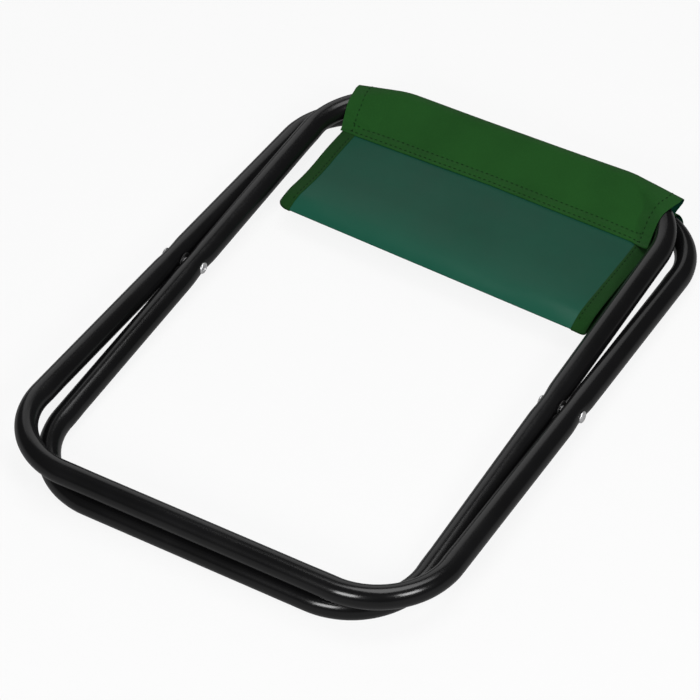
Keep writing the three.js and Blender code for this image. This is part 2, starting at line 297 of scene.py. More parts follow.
def in_row_frame(points, tilt):
    """Turns points about the pivot's X axis by tilt and carries them to the pivot's place."""
    c, s = math.cos(tilt), math.sin(tilt)
    turn = np.array([[1, 0, 0], [0, c, -s], [0, s, c]])
    return np.asarray(points) @ turn.T + PIVOT


def smoothstep(value, low, high):
    t = np.clip((np.asarray(value, float) - low) / (high - low), 0, 1)
    return t * t * (3 - 2 * t)


def lathe(name, profile, material, direction):
    """A turned piece about the pivot's axis. Each profile point is (radius, distance along X)."""
    angles = np.arange(ROUND_STEPS) * 2 * math.pi / ROUND_STEPS
    radius = np.array([p[0] for p in profile])[:, None]
    along = np.array([p[1] for p in profile])[:, None] + 0 * angles
    grid = np.stack([direction * along, radius * np.cos(angles),
                     direction * radius * np.sin(angles)], -1)
    points = in_row_frame(grid.reshape(-1, 3), 0)
    faces = grid_faces(len(profile), ROUND_STEPS, wrap_rows=True, wrap_columns=True)
    return new_object(name, points, faces, [material], sharp=ROUND_SHARP)


# ---- Materials ----

class Nodes:
    """A small helper that adds shader nodes and links them."""

    def __init__(self, name):
        self.material = bpy.data.materials.new(name)
        self.material.use_nodes = True
        self.tree = self.material.node_tree
        self.shader = self.tree.nodes["Principled BSDF"]

    def add(self, kind, **inputs):
        node = self.tree.nodes.new(kind)
        for key, value in inputs.items():
            if key in node.inputs:
                node.inputs[key].default_value = value
            else:
                setattr(node, key, value)
        return node

    def link(self, source, target):
        self.tree.links.new(source, target)

    def position(self):
        return self.add("ShaderNodeTexCoord").outputs["Object"]

    def noise(self, vector, scale, detail=3.0, roughness=0.5):
        node = self.add("ShaderNodeTexNoise", Scale=scale, Detail=detail, Roughness=roughness)
        self.link(vector, node.inputs["Vector"])
        return node.outputs["Fac"]

    def ramp(self, value, stops):
        node = self.add("ShaderNodeValToRGB")
        elements = node.color_ramp.elements
        while len(elements) < len(stops):
            elements.new(0.5)
        for element, (place, color) in zip(elements, stops):
            element.position = place
            element.color = (*color, 1)
        self.link(value, node.inputs["Fac"])
        return node.outputs["Color"]

    def span(self, value, low, high, from_low=0.0, from_high=1.0):
        node = self.add("ShaderNodeMapRange")
        for name, number in (("From Min", from_low), ("From Max", from_high),
                             ("To Min", low), ("To Max", high)):
            node.inputs[name].default_value = number
        self.link(value, node.inputs["Value"])
        return node.outputs["Result"]

    def math(self, operation, a, b=None):
        node = self.add("ShaderNodeMath", operation=operation)
        for socket, value in zip(node.inputs, (a, b)):
            if value is None:
                continue
            if isinstance(value, (int, float)):
                socket.default_value = value
            else:
                self.link(value, socket)
        return node.outputs["Value"]

    def mix(self, factor, a, b, blend="MIX"):
        node = self.add("ShaderNodeMix", data_type="RGBA", blend_type=blend)
        for socket, value in ((node.inputs[0], factor), (node.inputs[6], a), (node.inputs[7], b)):
            if isinstance(value, (int, float)):
                socket.default_value = value
            elif isinstance(value, tuple):
                socket.default_value = (*value, 1)
            else:
                self.link(value, socket)
        return node.outputs[2]

    def bump(self, height, distance, strength=1.0, normal=None):
        node = self.add("ShaderNodeBump", Strength=strength, Distance=distance)
        self.link(height, node.inputs["Height"])
        if normal is not None:
            self.link(normal, node.inputs["Normal"])
        return node.outputs["Normal"]

    def set(self, **values):
        for name, value in values.items():
            socket = self.shader.inputs[name.replace("_", " ")]
            if isinstance(value, bpy.types.NodeSocket):
                self.link(value, socket)
            else:
                socket.default_value = value
        return self.material


def black_powder_coat():
    n = Nodes("black_powder_coat")
    place = n.position()
    patches = n.noise(place, 22, detail=4)
    dust = n.ramp(n.noise(place, 900, detail=2), [(0.66, (0, 0, 0)), (0.74, (1, 1, 1))])
    color = n.ramp(patches, [(0.3, (0.0050, 0.0050, 0.0053)), (0.7, (0.0075, 0.0075, 0.0080))])
    color = n.mix(n.math("MULTIPLY", dust, 0.03), color, (0.11, 0.11, 0.11))
    rough = n.span(patches, 0.17, 0.23, 0.3, 0.7)
    peel = n.bump(n.noise(place, 650, detail=2), 0.00004, 0.25)
    waves = n.bump(n.noise(place, 45, detail=1), 0.0008, 0.03, peel)
    return n.set(Base_Color=color, Roughness=rough, Normal=waves, IOR=1.5)


def zinc_plate(name, dull, bright):
    n = Nodes(name)
    place = n.position()
    spangle = n.noise(place, 700, detail=3)
    color = n.ramp(spangle, [(0.35, (dull, dull, dull * 1.02)), (0.65, (bright, bright, bright))])
    rough = n.span(n.noise(place, 1500, detail=2), 0.22, 0.42, 0.3, 0.7)
    marks = n.bump(spangle, 0.00006, 0.5)
    return n.set(Base_Color=color, Roughness=rough, Normal=marks, Metallic=0.65)


def bare_steel():
    n = Nodes("bare_steel")
    place = n.position()
    drawn = n.add("ShaderNodeMapping", Scale=(40.0, 1500.0, 1500.0))
    n.link(place, drawn.inputs["Vector"])
    lines = n.noise(drawn.outputs["Vector"], 1.0, detail=3)
    color = n.ramp(lines, [(0.3, (0.24, 0.245, 0.25)), (0.7, (0.36, 0.365, 0.37))])
    rough = n.span(lines, 0.3, 0.5, 0.3, 0.7)
    grooves = n.bump(lines, 0.00005, 0.4)
    return n.set(Base_Color=color, Roughness=rough, Normal=grooves, Metallic=1.0)


YARN = 0.55 * MM
# From the fold: where the painted highlight beside the fold is full, and where it has faded out.
FOLD_HIGHLIGHT_BAND = (6 * MM, 45 * MM)


def weave_height(n):
    """The cloth's own coordinates, the length along it, and the height of its two-by-one twill:
    0 between the yarns, 1 on top."""
    cloth = n.add("ShaderNodeUVMap", uv_map="cloth").outputs["UV"]
    split = n.add("ShaderNodeSeparateXYZ")
    n.link(cloth, split.inputs["Vector"])
    across, along = split.outputs["X"], split.outputs["Y"]
    scale = 2 * math.pi / YARN
    warp = n.math("SINE", n.math("MULTIPLY", across, scale))
    weft = n.math("SINE", n.math("MULTIPLY", along, scale))
    diagonal = n.math("SINE", n.math("MULTIPLY", n.math("ADD", across, along), scale / 3))
    crossed = n.math("ADD", n.math("MULTIPLY", n.math("ABSOLUTE", warp), 0.35),
                     n.math("MULTIPLY", n.math("ABSOLUTE", weft), 0.25))
    height = n.math("ADD", crossed, n.math("MULTIPLY", n.math("ABSOLUTE", diagonal), 0.4))
    return cloth, along, height


def woven_cloth(name, tone):
    n = Nodes(name)
    place = n.position()
    cloth, _, height = weave_height(n)
    slub = n.noise(cloth, 900, detail=2)
    fade = n.noise(place, 30, detail=3)
    color = n.ramp(height, [(0.15, (0.006, 0.046, 0.007)), (0.6, (0.014, 0.088, 0.013)),
                            (0.95, (0.019, 0.112, 0.018))])
    color = n.mix(n.span(fade, 0.0, 0.5, 0.35, 0.7), color, (0.009, 0.062, 0.009))
    color = n.mix(n.span(slub, 0.0, 0.35, 0.4, 0.8), color, (0.022, 0.12, 0.022))
    color = n.mix(1.0, color, (tone, tone, tone), "MULTIPLY")
    surface = n.bump(n.math("ADD", height, n.math("MULTIPLY", slub, 0.5)), 0.00016, 0.7)
    return n.set(Base_Color=color, Roughness=0.85, Normal=surface, Sheen_Weight=0.08,
                 Sheen_Roughness=0.4, Specular_IOR_Level=0.15)


def coated_cloth():
    """The cloth's coated back, with a painted highlight beside the fold: a paler band for the light
    on the cloth's curve there.
    """
    n = Nodes("coated_cloth")
    place = n.position()
    cloth, along, height = weave_height(n)
    clouds = n.noise(place, 26, detail=4)
    grain = n.noise(cloth, 1800, detail=2)
    color = n.ramp(clouds, [(0.3, (0.0050, 0.063, 0.037)), (0.7, (0.0072, 0.080, 0.047))])
    color = n.mix(n.span(height, 0.0, 0.3), color, (0.009, 0.090, 0.054))
    # A paler band each side of the fold is painted highlight: the light on the cloth's curve beside
    # the fold, put into the colour.
    from_fold = n.math("ABSOLUTE", n.math("SUBTRACT", along, FOLD_ALONG))
    painted_fold_highlight = n.span(from_fold, 1.0, 0.0, *FOLD_HIGHLIGHT_BAND)
    color = n.mix(n.math("MULTIPLY", painted_fold_highlight, 0.75), color, (0.011, 0.110, 0.067))
    rough = n.span(n.math("ADD", clouds, n.math("MULTIPLY", grain, 0.5)), 0.36, 0.5, 0.5, 1.0)
    skin = n.bump(n.math("ADD", height, grain), 0.00007, 0.35)
    return n.set(Base_Color=color, Roughness=rough, Normal=skin, Specular_IOR_Level=0.21)


def green_thread():
    n = Nodes("green_thread")
    place = n.position()
    strands = n.noise(place, 2600, detail=2)
    color = n.ramp(strands, [(0.3, (0.0015, 0.010, 0.002)), (0.7, (0.004, 0.022, 0.005))])
    return n.set(Base_Color=color, Roughness=0.8, Normal=n.bump(strands, 0.0001, 0.6),
                 Specular_IOR_Level=0.1)


def floor_paint():
    n = Nodes("floor_paint")
    speckle = n.noise(n.position(), 60, detail=3)
    color = n.ramp(speckle, [(0.3, (0.90, 0.90, 0.90)), (0.7, (0.93, 0.93, 0.93))])
    return n.set(Base_Color=color, Roughness=0.9, Alpha=FLOOR_ALPHA)


BLACK = black_powder_coat()
ZINC = zinc_plate("zinc_plate", 0.75, 0.93)
# The washers' zinc is darkened to near black: painted shade of the narrow gap between the tubes
# where they sit.
SHADE_DARKENED_ZINC = zinc_plate("shade_darkened_zinc_plate", 0.03, 0.09)
STEEL = bare_steel()
WOVEN = woven_cloth("woven_cloth", 1.0)
WOVEN_HEM = woven_cloth("woven_cloth_hem", 0.63)
COATED = coated_cloth()
THREAD = green_thread()


# ---- Camera, floor and lights ----

CAMERA_AZIMUTH = math.radians(30.632)
CAMERA_ELEVATION = math.radians(43.803)
CAMERA_ROLL = math.radians(-0.656)
CAMERA_DISTANCE = 2.129396
CAMERA_TARGET = Vector((-0.006552, -0.011184, 0.010))
CAMERA_LENS = 163.57


def make_camera():
    a, e = CAMERA_AZIMUTH, CAMERA_ELEVATION
    back = Vector((math.sin(a) * math.cos(e), -math.cos(a) * math.cos(e), math.sin(e)))
    right = Vector((math.cos(a), math.sin(a), 0))
    up = back.cross(right)
    c, s = math.cos(CAMERA_ROLL), math.sin(CAMERA_ROLL)
    rolled_right = c * right + s * up
    rolled_up = c * up - s * right
    camera = bpy.data.objects.new("camera", bpy.data.cameras.new("camera"))
    camera.data.lens = CAMERA_LENS
    axes = Matrix((rolled_right, rolled_up, back)).transposed().to_4x4()
    camera.matrix_world = Matrix.Translation(CAMERA_TARGET + back * CAMERA_DISTANCE) @ axes
    bpy.context.scene.collection.objects.link(camera)
    bpy.context.scene.camera = camera


def area_light(name, place, size, power, size_y=None):
    """A soft light that faces the object's middle."""
    light = bpy.data.lights.new(name, "AREA")
    light.energy = power
    light.size = size
    if size_y is not None:
        light.shape = "RECTANGLE"
        light.size_y = size_y
    obj = bpy.data.objects.new(name, light)
    obj.location = place
    obj.rotation_euler = (-Vector(place)).to_track_quat("-Z", "Y").to_euler()
    bpy.context.scene.collection.objects.link(obj)


FLOOR_SIZE = 8.0
FLOOR_GAP = 0.05 * MM
FLOOR_ALPHA = 0.12
SKY_LIGHT = 0.05
GROUND_LIGHT = 0.22
HORIZON = (0.05, -0.25)
LEFT_POWER = 14
RIGHT_POWER = 14
TOP_POWER = 14
REAR_POWER = 6


def make_floor():
    """A pale floor that is mostly clear, so that it takes a faint shadow and the white room
    shows through it."""
    low = CAD_BOX[0].z
    half = FLOOR_SIZE / 2
    corners = [(-half, -half), (half, -half), (half, half), (-half, half)]
    floor = new_object("studio_floor", [(x, y, low - FLOOR_GAP) for x, y in corners],
                       [(0, 1, 2, 3)], [floor_paint()])


def make_room():
    """White to the camera. The light it sheds is dim above and brighter from the ground."""
    world = bpy.data.worlds.new("studio")
    world.use_nodes = True
    bpy.context.scene.world = world
    tree = world.node_tree
    tree.nodes.clear()
    seen = tree.nodes.new("ShaderNodeBackground")
    seen.inputs["Color"].default_value = (1, 1, 1, 1)
    room = tree.nodes.new("ShaderNodeBackground")
    room.inputs["Color"].default_value = (1, 1, 1, 1)
    place = tree.nodes.new("ShaderNodeTexCoord")
    split = tree.nodes.new("ShaderNodeSeparateXYZ")
    tree.links.new(place.outputs["Generated"], split.inputs["Vector"])
    height = tree.nodes.new("ShaderNodeMapRange")
    for name, number in (("From Min", HORIZON[0]), ("From Max", HORIZON[1]),
                         ("To Min", SKY_LIGHT), ("To Max", GROUND_LIGHT)):
        height.inputs[name].default_value = number
    tree.links.new(split.outputs["Z"], height.inputs["Value"])
    tree.links.new(height.outputs["Result"], room.inputs["Strength"])
    ray = tree.nodes.new("ShaderNodeLightPath")
    mix = tree.nodes.new("ShaderNodeMixShader")
    out = tree.nodes.new("ShaderNodeOutputWorld")
    tree.links.new(ray.outputs["Is Camera Ray"], mix.inputs["Fac"])
    tree.links.new(room.outputs["Background"], mix.inputs[1])
    tree.links.new(seen.outputs["Background"], mix.inputs[2])
    tree.links.new(mix.outputs["Shader"], out.inputs["Surface"])
    bpy.context.scene.view_settings.view_transform = "Standard"


def make_studio():
    make_floor()
    make_room()
    area_light("left_softbox", (0.06, -1.73, 1.0), 0.6, LEFT_POWER)
    area_light("right_softbox", (1.5, -0.64, 1.2), 0.6, RIGHT_POWER)
    area_light("top_softbox", (0.1, 0.3, 2.0), 1.2, TOP_POWER)
    area_light("rear_softbox", (-1.15, 1.45, 0.95), 1.9, REAR_POWER, 1.5)


# ---- Tube loops ----

def loop_stations(width):
    """Stations from one side of the joint in the seat bar round to the other: the middle point,
    the outward angle, how much the station is bent, the kink beside a bend, and the distance
    from the rivet."""
    side = width / 2
    rows = []

    def add(x, y, out, bent=0.0, kink=0.0):
        on_side = abs(abs(x) - side) < 1e-9
        rows.append((x, y, out, bent, kink, y if on_side else 1.0))

    def straight(x0, y0, x1, y1, out, kink_start=True, kink_end=True):
        length = math.hypot(x1 - x0, y1 - y0)
        for step in range(STRAIGHT_STEPS + 1):
            t = smoothstep(step / STRAIGHT_STEPS, 0, 1)
            ends = (t * length if kink_start else 1.0, (1 - t) * length if kink_end else 1.0)
            kink = sum(math.exp(-((d / KINK_LENGTH - KINK_AT) ** 2)) for d in ends)
            add(x0 + (x1 - x0) * t, y0 + (y1 - y0) * t, out, 0.0, kink)

    def bend(x, y, start):
        for step in range(1, BEND_STEPS):
            t = step / BEND_STEPS
            out = start - math.radians(90) * t
            along = min(t, 1 - t) * BEND_R * math.pi / 2
            kink = math.exp(-((along / KINK_LENGTH + KINK_AT) ** 2))
            bent = smoothstep(min(t, 1 - t), 0, BEND_ONSET)
            add(x + BEND_R * math.cos(out), y + BEND_R * math.sin(out), out, float(bent), kink)

    inner_x = side - BEND_R
    seat_y, foot_y = SEAT_REACH - BEND_R, -FOOT_REACH + BEND_R
    quarter = math.radians(90)
    dense = int(2 * PINCH_REACH / PINCH_STEP)
    straight(JOIN_GAP / 2, SEAT_REACH, inner_x, SEAT_REACH, quarter, kink_start=False)
    for sign, first, last in ((1, seat_y, foot_y), (-1, foot_y, seat_y)):
        out = 0.0 if sign > 0 else -2 * quarter
        bend(sign * inner_x, first, out + quarter)
        straight(sign * side, first, sign * side, sign * PINCH_REACH, out, kink_end=False)
        for step in range(1, dense):
            add(sign * side, sign * (PINCH_REACH - step * PINCH_STEP), out)
        straight(sign * side, -sign * PINCH_REACH, sign * side, last, out, kink_start=False)
        bend(sign * inner_x, last, out)
        if sign > 0:
            straight(inner_x, -FOOT_REACH, -inner_x, -FOOT_REACH, -quarter)
    straight(-inner_x, SEAT_REACH, -JOIN_GAP / 2, SEAT_REACH, quarter, kink_end=False)
    return np.array(rows)


def tube_skin(stations, radius, dent_side):
    """Rings of points round the stations: a little flat and wide in the bends, swollen where a
    bend starts, pinched at the rivets, and dented on the side that dent_side names."""
    x, y, out, bent, kink, away = (stations[:, i, None] for i in range(6))
    angle = (np.arange(TUBE_SIDES) * 2 * math.pi / TUBE_SIDES)[None, :]
    across = radius * (1 - BEND_FLATTEN * bent) * np.cos(angle)
    height = radius * (1 + BEND_SPREAD * bent) * np.sin(angle)
    inward = np.clip(-np.cos(angle), 0, 1) ** 2
    across = across - KINK * kink * inward
    pinch = PINCH * (1 - smoothstep(np.abs(away), PINCH_FLAT * PINCH_REACH, PINCH_REACH))
    across = across - pinch * np.cos(angle)
    facing = smoothstep(dent_side * np.cos(angle), *DENT_FACING)
    dent = DENT * np.exp(-((away ** 2 + height ** 2) / DENT_R ** 2)) * facing
    across = across - dent_side * dent
    return np.stack([x + across * np.cos(out), y + across * np.sin(out), height], -1)


def tube_loop(name, width, tilt, dent_side):
    stations = loop_stations(width)
    outer = tube_skin(stations, TUBE_R, dent_side)
    inner = tube_skin(stations, TUBE_R - TUBE_WALL, dent_side)
    rings = np.concatenate([outer, inner[::-1]])
    points = in_row_frame(rings.reshape(-1, 3), tilt)
    faces = grid_faces(len(rings), TUBE_SIDES, wrap_rows=True, wrap_columns=True)
    tube = new_object(name, points, faces, [BLACK])
    face_outward(tube)
    drill_rivet_holes(tube, width)
    tube.data.set_sharp_from_angle(angle=math.radians(TUBE_SHARP))
    return tube


def face_outward(obj):
    """Turns the faces round if the closed mesh is inside out."""
    mesh = obj.data
    mesh.calc_loop_triangles()
    points = np.array([v.co for v in mesh.vertices])
    corners = points[np.array([t.vertices for t in mesh.loop_triangles])]
    volume = np.einsum("ij,ij->i", corners[:, 0], np.cross(corners[:, 1], corners[:, 2])).sum()
    if volume < 0:
        mesh.flip_normals()


def drill_rivet_holes(tube, width):
    reach = width / 2 + 3 * TUBE_R
    drill = lathe("drill", [(0, -reach), (HOLE_R, -reach), (HOLE_R, reach), (0, reach)],
                  BLACK, 1)
    cut = tube.modifiers.new("holes", "BOOLEAN")
    cut.operation = "DIFFERENCE"
    cut.solver = "EXACT"
    cut.object = drill
    graph = bpy.context.evaluated_depsgraph_get()
    drilled = bpy.data.meshes.new_from_object(tube.evaluated_get(graph))
    tube.modifiers.clear()
    tube.data = drilled
    bpy.data.objects.remove(drill)


# ---- Pivots ----

def rivet(name, direction):
    """The domed head outside, the shank, and the rolled clinch with its hole inside."""
    seat = OUTER_WIDTH / 2 + TUBE_R - PINCH - DENT
    clinch = INNER_WIDTH / 2 - TUBE_R + PINCH + DENT
    profile = [(SHANK_R, seat), (HEAD_R - HEAD_EDGE / 2, seat), (HEAD_R, seat + HEAD_EDGE / 2)]
    for step in range(1, HEAD_STEPS + 1):
        angle = math.radians(90 * step / HEAD_STEPS)
        profile.append((HEAD_R * math.cos(angle),
                        seat + HEAD_EDGE + (HEAD_HEIGHT - HEAD_EDGE) * math.sin(angle)))
    profile.append((0, seat + HEAD_HEIGHT))
    bore = CLINCH_R - 2 * CLINCH_ROLL_R
    bore_end = clinch + CLINCH_BORE_DEPTH - CLINCH_ROLL_R
    profile += [(0, bore_end), (bore * BORE_TAPER, bore_end)]
    roll = CLINCH_R - CLINCH_ROLL_R
    for step in range(CLINCH_STEPS + 1):
        angle = math.radians(180 + CLINCH_TURN * step / CLINCH_STEPS)
        profile.append((roll + CLINCH_ROLL_R * math.cos(angle),
                        clinch + CLINCH_ROLL_R * math.sin(angle)))
    profile.append((SHANK_R, clinch + CLINCH_ROLL_R * CLINCH_NECK))
    return lathe(name, profile, ZINC, direction)


def washer(name, direction):
    middle = (OUTER_WIDTH + INNER_WIDTH) / 4
    low, high = middle - WASHER_THICKNESS / 2, middle + WASHER_THICKNESS / 2
    e = WASHER_EDGE
    profile = [(HOLE_R, low), (WASHER_R - e, low), (WASHER_R, low + e), (WASHER_R, high - e),
               (WASHER_R - e, high), (HOLE_R, high)]
    # The darkened zinc paints the shade of the gap between the tubes on to the washer.
    return lathe(name, profile, SHADE_DARKENED_ZINC, direction)


# ---- Cloth ----

def smooth_max(a, b, width):
    """The larger of two heights, with a soft change from one to the other."""
    return (a + b + np.sqrt((a - b) ** 2 + width ** 2)) / 2


def across_x(u, flare, tuck):
    """Where a place across the cloth, from -1 to 1, lies along X in a row of it."""
    wide = u * (HALF_WIDTH + SLEEVE_FLARE * flare * u ** 2)
    return SHIFT_X + wide - MOUTH_TUCK * tuck * smoothstep(u, MOUTH_TUCK_FROM, 1)


def hem_y(x):
    """Where the sleeve's hem edge runs: it comes forward where it climbs on to the right leg."""
    climb = smoothstep(x, *HEM_CLIMB)
    return HEM_Y - HEM_SLANT * np.maximum(0, x) - HEM_CORNER * climb


def fold_tip(u):
    """Where the fold's edge runs: a little askew, round at its left corner, sharp at its right."""
    radius = np.where(u < 0, CORNER_R, SHARP_CORNER_R)
    corner = np.clip((np.abs(u) * HALF_WIDTH - (HALF_WIDTH - radius)) / radius, 0, 1)
    rounded = CORNER_DEPTH * radius * (1 - np.sqrt(1 - CORNER_CURVE * corner ** 2))
    return FOLD_Y - FOLD_SKEW * u * HALF_WIDTH + rounded


def ripples(u, y):
    """Slow waves of slack cloth, from 0 to 1."""
    x = u * HALF_WIDTH
    waves = sum(size * np.sin(x / across + y / along + phase)
                for size, across, along, phase in RIPPLE_WAVES)
    most = sum(size for size, *_ in RIPPLE_WAVES)
    return (waves + most) / (2 * most)


def puckers(u):
    """Small gathers between stitches, from 0 to 1."""
    x = u * HALF_WIDTH
    beat, phase = PUCKER_BEAT
    return (np.sin(x / PUCKER_LENGTH) * np.sin(x / beat + phase) + 1) / 2


def taut(x, z):
    """Cloth held up at one place comes down to its neighbours on a slope, not on a step."""
    return (z[None, :] - TAUT_SLOPE * np.abs(x[:, None] - x[None, :])).max(1)


class ClothHalf:
    """One half of the seat from its hem to the fold, as a grid of middle points and normals in
    the row frame of the fold's plane. Normals point to the coated side. The lower half is
    mirrored below that plane."""

    def __init__(self, width, mirror):
        self.bend_from = width / 2 - BEND_R
        self.bar_y = SEAT_REACH * math.cos(HALF_ANGLE)
        self.mirror = mirror
        t = np.linspace(-1, 1, CLOTH_COLUMNS)
        self.across = np.sin(t * math.pi / 2) * EDGE_CROWDING + t * (1 - EDGE_CROWDING)
        self.rows = []
        self.marks = {}
        self.turned_hem()
        self.flap()
        self.wrap()
        self.panel_rows()
        self.flat = np.array(self.rows)
        self.measure()

    # Heights are above the fold's plane, as if the half were the upper one.

    def plane(self, y):
        return y * math.tan(HALF_ANGLE)

    def into_bend(self, x):
        return np.maximum(0, np.abs(x) - self.bend_from)

    def inside_of_line(self, x, y):
        """How far a place lies inside the loop from the tube's middle line."""
        ahead = np.maximum(0, y - (self.bar_y - BEND_R))
        return BEND_R - np.hypot(self.into_bend(x), ahead)

    def lying_on_tube(self, x, y):
        """Height of cloth that lies on the tube and comes down inside it past the knee."""
        inside = np.maximum(0, self.inside_of_line(x, y))
        knee = np.minimum(inside, KNEE * STAND)
        return self.plane(y) + np.sqrt(STAND ** 2 - knee ** 2) - (inside - knee) * KNEE_SLOPE

    def rear_y(self, x):
        """The sleeve's rear leaves the bend early and runs on straight to the mouth."""
        into = self.into_bend(x)
        bent = np.minimum(into, np.where(x < 0, LEFT_LEAVE_BEND, LEAVE_BEND))
        rear_r = BEND_R + TUBE_R
        round_y = np.sqrt(rear_r ** 2 - bent ** 2)
        slope = bent / round_y
        return self.bar_y - BEND_R + round_y - slope * (into - bent) + CLEAR + CLOTH / 2

    def panel(self, u, x, y):
        """The panel's middle: from under the bar to the fold, with slack near the fold."""
        tip = fold_tip(u)
        middle_y = self.rear_y(x) - STAND
        under = self.plane(middle_y) - STAND
        t = (middle_y - y) / (middle_y - tip)
        from_tip = np.clip((y - tip) / FOLD_BULGE_AT, 0, None)
        bulge = FOLD_BULGE * from_tip * np.exp(1 - from_tip)
        bulge = bulge * smoothstep(np.abs(u), *FOLD_BULGE_FADE)
        off_hem = smoothstep(y, HEM_Y, HEM_Y - HEM_EASE)
        off_fold = smoothstep(y, tip, tip + FOLD_EASE)
        level = under + (FOLD_R - under) * t + bulge * off_hem
        level = level + PANEL_RIPPLE * ripples(u, y) * (off_hem * off_fold)
        aside = np.minimum(np.abs(self.inside_of_line(x, y)), STAND)
        knee = np.minimum(aside, KNEE * STAND)
        pressed = (self.plane(y) - np.sqrt((STAND - TIGHT) ** 2 - knee ** 2 * PRESSED)
                   + (aside - knee) * KNEE_SLOPE)
        return np.where(aside < STAND, np.minimum(level, pressed), level)

    def flap_height(self, u, x, y):
        """The lower of the hem's two layers: on the panel, or on the tube where that is higher."""
        hem = SIDE_HEM / HALF_WIDTH
        over_hem = LAYER * smoothstep(np.abs(u), 1 - SIDE_HEM_RAMP * hem, 1 - hem)
        on_panel = self.panel(u, x, y) + LAYER + over_hem
        return taut(x, smooth_max(on_panel, self.lying_on_tube(x, y), HEM_SOFTNESS))

    def add_row(self, x, y, z):
        u = self.across
        self.rows.append(np.stack([x + 0 * u, y + 0 * u, z + 0 * u], -1))

    def mark(self, name):
        self.marks[name] = len(self.rows)

    def flap_row(self, s):
        """Where the flap's row at s lies, from 0 at the hem to 1 at the bar's top, and where the
        hem's edge and the bar's middle are beside it."""
        tuck = math.sin(math.pi * s) + TOP_TUCK * s
        x = across_x(self.across, HEM_FLARE + (1 - HEM_FLARE) * s, tuck)
        edge = hem_y(x) + LAYER / 2
        middle_y = self.rear_y(x) - STAND
        return x, edge + (middle_y - edge) * s, edge, middle_y

    def turned_hem(self):
        """The layer turned under the flap, and the round turn at the hem's edge."""
        u = self.across
        for s in np.linspace(HEM_TURN / (self.bar_y - HEM_Y), 0, TURNED_ROWS):
            x, y, edge, _ = self.flap_row(s)
            self.add_row(x, y, self.flap_height(u, x, y))
        base = self.flap_height(u, x, edge) + LAYER / 2
        for step in range(1, TURN_STEPS):
            angle = math.radians(-90 - 180 * step / TURN_STEPS)
            self.add_row(x, edge + LAYER / 2 * math.cos(angle), base + LAYER / 2 * math.sin(angle))
        self.mark("edge")

    def flap(self):
        """The flap: flat where it is sewn down, then up to the bar's top."""
        u = self.across
        edge_row, inner_row = SEAM_ROWS
        for step in range(FLAP_STEPS):
            x, y, edge, middle_y = self.flap_row(step / FLAP_STEPS)
            sewn_y = edge + SEWN
            sewn_z = self.flap_height(u, x, sewn_y) + LAYER
            middle_z = self.plane(middle_y)
            rise = np.clip((y - sewn_y) / (middle_y - sewn_y), 0, 1)
            hull = self.tangent_height(sewn_y, sewn_z, middle_y, middle_z, y)
            turn_end = edge + HEM_TURN
            over_turn = LAYER * (1 - smoothstep(y - turn_end, 0, TURN_EASE))
            sewn = self.flap_height(u, x, y) + over_turn
            z = np.where(y < sewn_y, sewn, np.maximum(hull, sewn))
            z = taut(x, smooth_max(z, self.lying_on_tube(x, y), FLAP_SOFTNESS))
            rows_gap = np.minimum(np.abs(y - edge - edge_row), np.abs(y - edge - inner_row))
            puff = PUFF * (1 - np.exp(-(rows_gap / PUFF_WIDTH) ** 2))
            puff = puff * (1 - GATHER + GATHER * puckers(u))
            puff = puff * (1 - smoothstep(y, sewn_y, sewn_y + PUFF_EASE))
            soft = ripples(u, y * FLAP_RIPPLE_PACE) * np.sin(math.pi * rise) ** 2
            self.add_row(x, y, z + puff + FLAP_RIPPLE * soft)

    @staticmethod
    def tangent_height(y0, z0, middle_y, middle_z, y):
        """Height at y on the line from a point up to the bar's top, and then on the bar itself."""
        back, drop = middle_y - y0, middle_z - z0
        reach = np.hypot(back, drop)
        touch = math.pi + np.arctan2(drop, back) - np.arccos(np.minimum(1, STAND / reach))
        touch_y = middle_y + STAND * np.cos(touch)
        touch_z = middle_z + STAND * np.sin(touch)
        line = z0 + (touch_z - z0) * (y - y0) / (touch_y - y0)
        on_bar = middle_z + np.sqrt(np.maximum(0, STAND ** 2 - (y - middle_y) ** 2))
        return np.where(y < touch_y, line, on_bar)

    def wrap(self):
        """Round the bar's rear, with a soft pressed ridge at the top of it."""
        for step in range(WRAP_STEPS + 1):
            angle = math.radians(90 - 180 * step / WRAP_STEPS)
            away = smoothstep(math.degrees(angle), *FLARE_ENDS)
            x = across_x(self.across, 1 - away, TOP_TUCK * (1 - away))
            middle_y = self.rear_y(x) - STAND
            ridge = RIDGE * smoothstep(np.abs(self.across), RIDGE_FROM, 1) if angle > 0 else 0
            power = 2 / (2 + ridge)
            out = STAND * abs(math.cos(angle)) ** power
            up = STAND * math.copysign(1, angle) * abs(math.sin(angle)) ** power
            self.add_row(x, middle_y + out, self.plane(middle_y) + up)

    def panel_rows(self):
        """The panel, narrower at the left in its middle, and then the first half of the fold."""
        u = self.across
        self.mark("panel")
        left = smoothstep(-u, WAIST_FROM, 1)
        for step in range(1, PANEL_STEPS + 1):
            t = step / PANEL_STEPS
            waist = WAIST * left * math.sin(math.pi * smoothstep(t, WAIST_START, 1))
            x = across_x(u, 0, 0) + waist
            start, tip = self.rear_y(x) - STAND, fold_tip(u)
            y = start + (tip - start) * (1 - (1 - t) ** FOLD_CROWDING)
            self.add_row(x, y, self.panel(u, x, y))
        for back, up in FOLD_TURN:
            self.add_row(x, tip - back * FOLD_R, up * FOLD_R)

    def measure(self):
        self.flat[..., 2] *= self.mirror
        down = np.gradient(self.flat, axis=0)
        side = np.gradient(self.flat, axis=1)
        normal = np.cross(down, side) * self.mirror
        self.normal = normal / np.linalg.norm(normal, axis=-1, keepdims=True)
        middle = self.flat[:, self.flat.shape[1] // 2]
        steps = np.linalg.norm(np.diff(middle, axis=0), axis=1)
        self.along = np.concatenate([[0], np.cumsum(steps)])

    def panel_along(self, y):
        """The length along the cloth at which the panel passes y."""
        first = self.marks["panel"]
        middle = self.flat[first:, self.flat.shape[1] // 2, 1]
        return np.interp(-y, -middle, self.along[first:])


